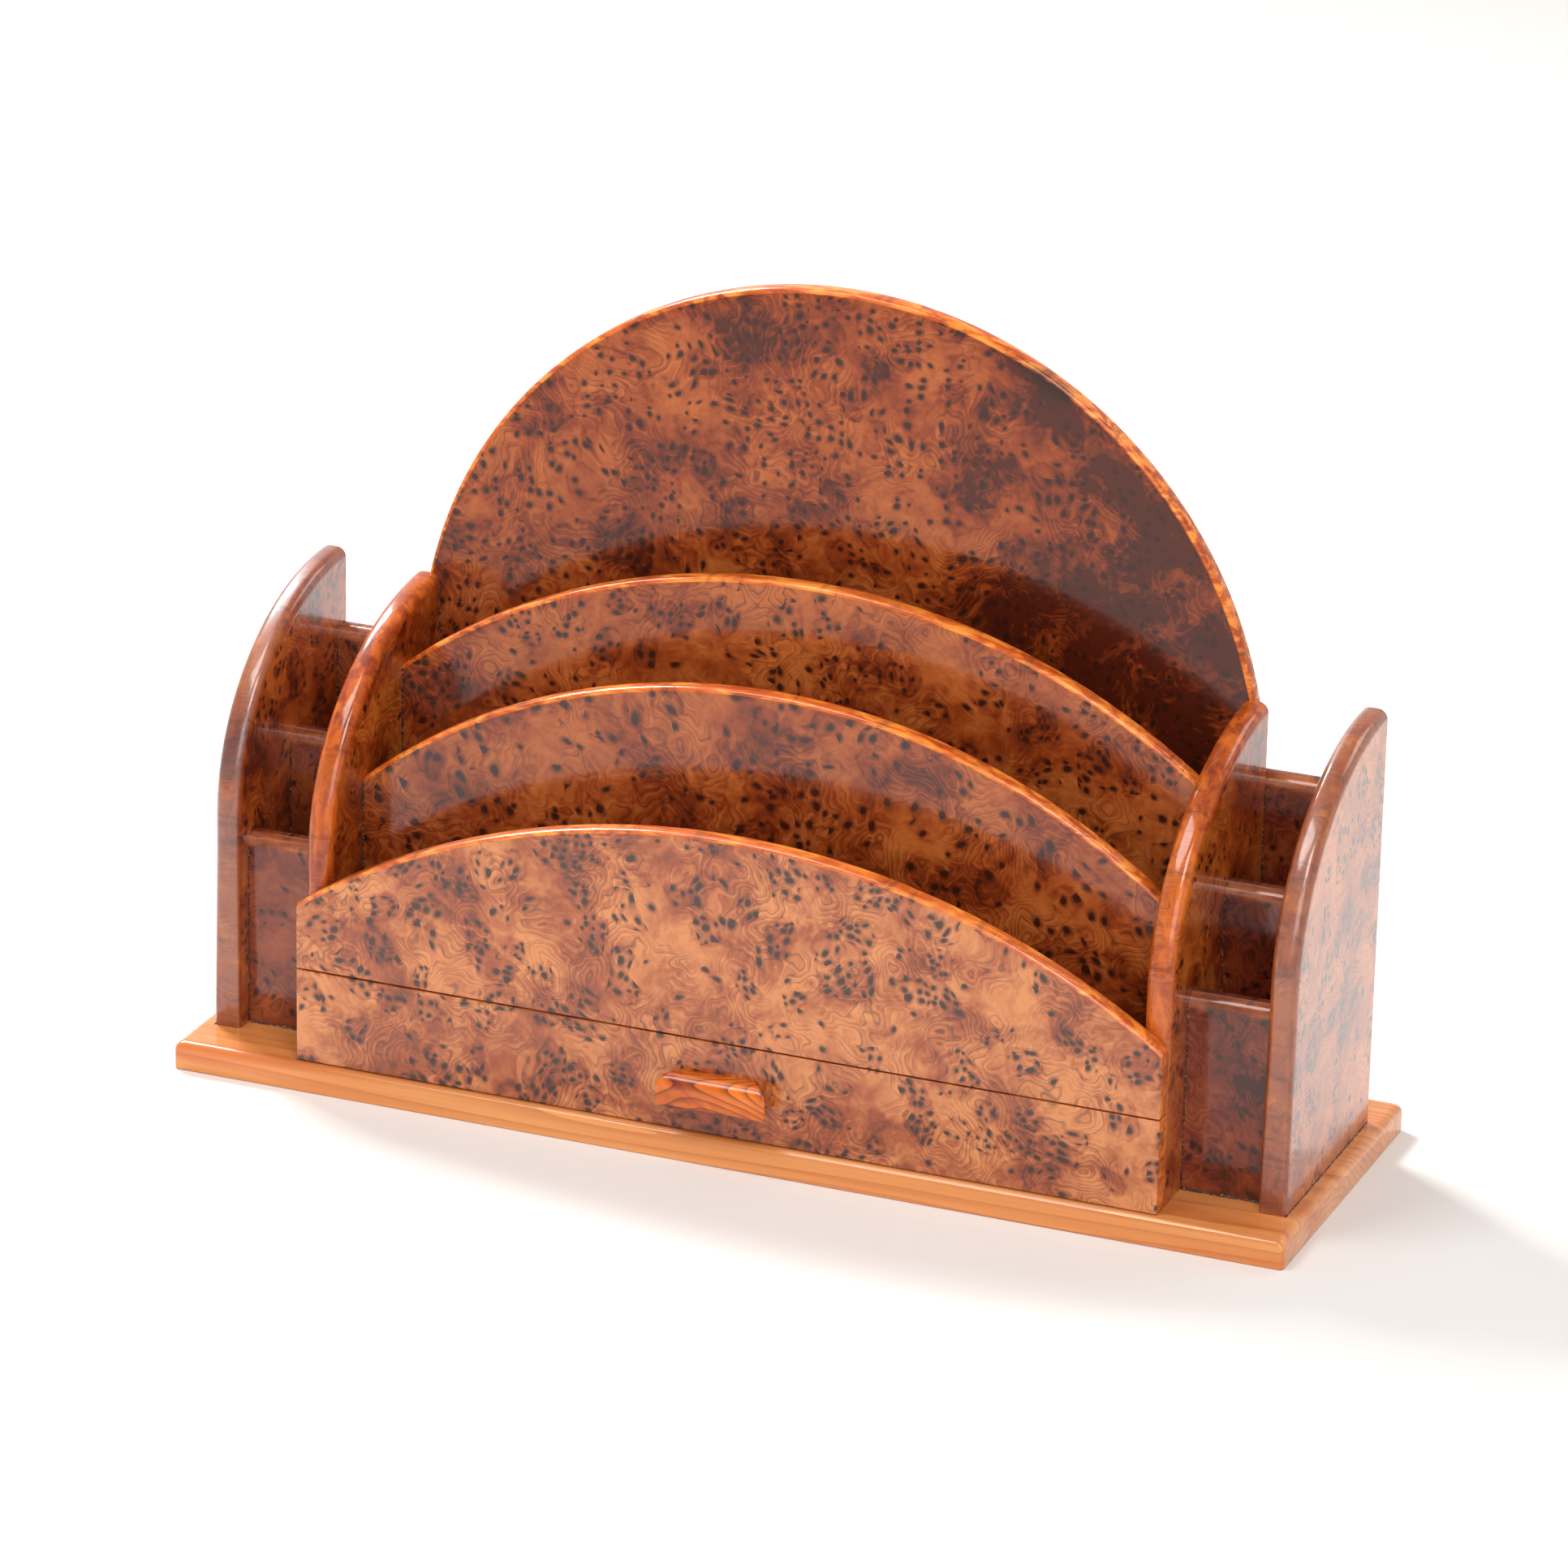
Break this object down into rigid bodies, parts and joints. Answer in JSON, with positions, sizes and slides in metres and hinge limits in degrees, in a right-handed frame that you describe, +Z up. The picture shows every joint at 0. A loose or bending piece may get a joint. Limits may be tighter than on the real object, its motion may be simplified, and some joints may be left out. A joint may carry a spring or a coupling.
{
  "type": "desk organizer",
  "caption": "Wooden desk organizer: arched letter slots between curved side panels, a shallow drawer below them and stepped pen compartments at both ends, on a flat base board.",
  "frame": {"origin": "middle of the organizer's box, on the surface that it stands on; the pull stands past the base, so the box's middle is 2.1 mm in front of the base board's middle", "axes": "+X along the width, towards the right-hand pen compartments as the user sees them; -Y towards the user, the way the drawer opens; +Z up"},
  "size_m": [0.36, 0.1182, 0.2494],
  "materials": {
    "burl": "reddish brown thuya burl with dark eyes, under a glossy varnish",
    "base": "plain straight-grained thuya, orange tan, glossy varnish",
    "pull_wood": "orange thuya with dark diagonal streaks, glossy varnish",
    "inner_wood": "plain light wood, sanded and barely varnished",
    "screw": "zinc-plated steel screw"
  },
  "bodies": {
    "rack": {"base_board": "base", "outer_panel_right": "burl", "outer_panel_left": "burl", "inner_panel_right": "burl", "inner_panel_left": "burl", "pen_wall_front_right": "burl", "pen_wall_front_left": "burl", "pen_wall_middle_right": "burl", "pen_wall_middle_left": "burl", "pen_wall_rear_right": "burl", "pen_wall_rear_left": "burl", "back_panel": "burl", "rear_divider": "burl", "front_divider": "burl", "front_panel": "burl", "slot_floor": "inner_wood"},
    "drawer": {"drawer_front": "burl", "drawer_pull": "pull_wood", "drawer_side_right": "inner_wood", "drawer_side_left": "inner_wood", "drawer_back": "inner_wood", "drawer_bottom": "inner_wood", "pull_screw_right": "screw", "pull_screw_left": "screw"}
  },
  "joints": [
    {"name": "drawer_slide", "type": "slide", "parent": "rack", "child": "drawer", "axis": [0, -1, 0], "range_m": [0, 0.06]}
  ]
}
